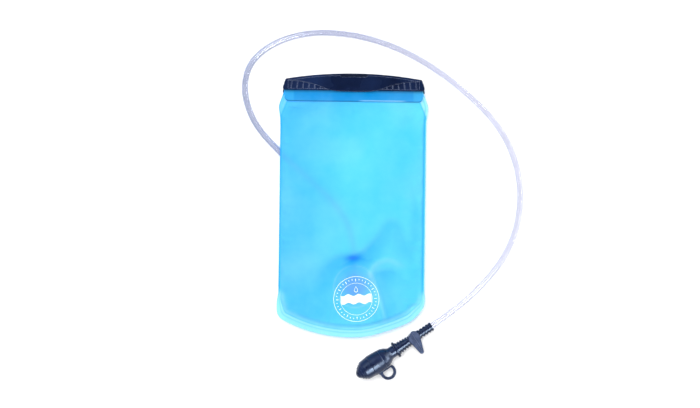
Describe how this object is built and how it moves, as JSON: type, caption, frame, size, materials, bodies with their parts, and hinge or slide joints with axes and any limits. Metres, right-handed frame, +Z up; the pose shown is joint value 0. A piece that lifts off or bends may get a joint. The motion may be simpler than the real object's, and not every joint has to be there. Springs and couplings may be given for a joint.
{
  "type": "hydration bladder",
  "caption": "Clear blue film water reservoir with a folded, slide-locked mouth and a drinking hose that ends in a shut-off valve and a capped bite valve.",
  "frame": {"origin": "centre of the footprint of the reservoir and its slide lock, on the surface that it lies on", "axes": "+Z up out of the front wall, +Y towards the mouth and the slide lock, +X across the reservoir"},
  "size_m": [0.3779, 0.4655, 0.0297],
  "materials": {
    "film_blue": "clear blue polyurethane film",
    "bead_white": "extruded stiffener",
    "lock_navy": "moulded navy plastic",
    "port_blue": "translucent blue plastic",
    "port_dark": "dark blue moulded plastic",
    "seal_black": "black nitrile",
    "hose_clear": "clear polyurethane tube",
    "collar_navy": "dark soft-touch sleeve",
    "valve_navy": "dark navy moulded plastic",
    "core_grey": "acetal",
    "lever_grey": "grey-navy moulded plastic",
    "silicone_blue": "soft silicone",
    "cap_navy": "polished navy plastic",
    "print_white": "screen-printed white ink"
  },
  "bodies": {
    "reservoir": {"front_film": "film_blue", "back_film": "film_blue", "mouth_bead": "bead_white", "port_flange": "port_blue", "port_nut": "port_dark", "port_o_ring": "seal_black", "port_elbow": "port_dark", "hose": "hose_clear", "inlet_collar": "collar_navy", "valve_body": "valve_navy", "outlet_collar": "collar_navy", "bite_stem": "valve_navy", "bite_housing": "cap_navy", "bite_valve": "silicone_blue"},
    "slide_lock": {"slide_lock": "lock_navy"},
    "lever": {"shutoff_lever": "lever_grey", "valve_plug": "core_grey", "plug_seal_upper": "seal_black", "plug_seal_lower": "seal_black"},
    "cap": {"dust_cap": "cap_navy"}
  },
  "joints": [
    {"name": "lock_slide", "type": "slide", "parent": "reservoir", "child": "slide_lock", "axis": [1, 0, 0], "range_m": [0, 0.2]},
    {"name": "lever_turn", "type": "hinge", "parent": "reservoir", "child": "lever", "pos_m": [0.08374, -0.17571, 0.00906], "axis": [0.0768, 0.0513, 0.9957], "range_deg": [0, 90]},
    {"name": "cap_pull", "type": "slide", "parent": "reservoir", "child": "cap", "axis": [-0.8284, -0.5525, 0.0924], "range_m": [0, 0.04]}
  ]
}
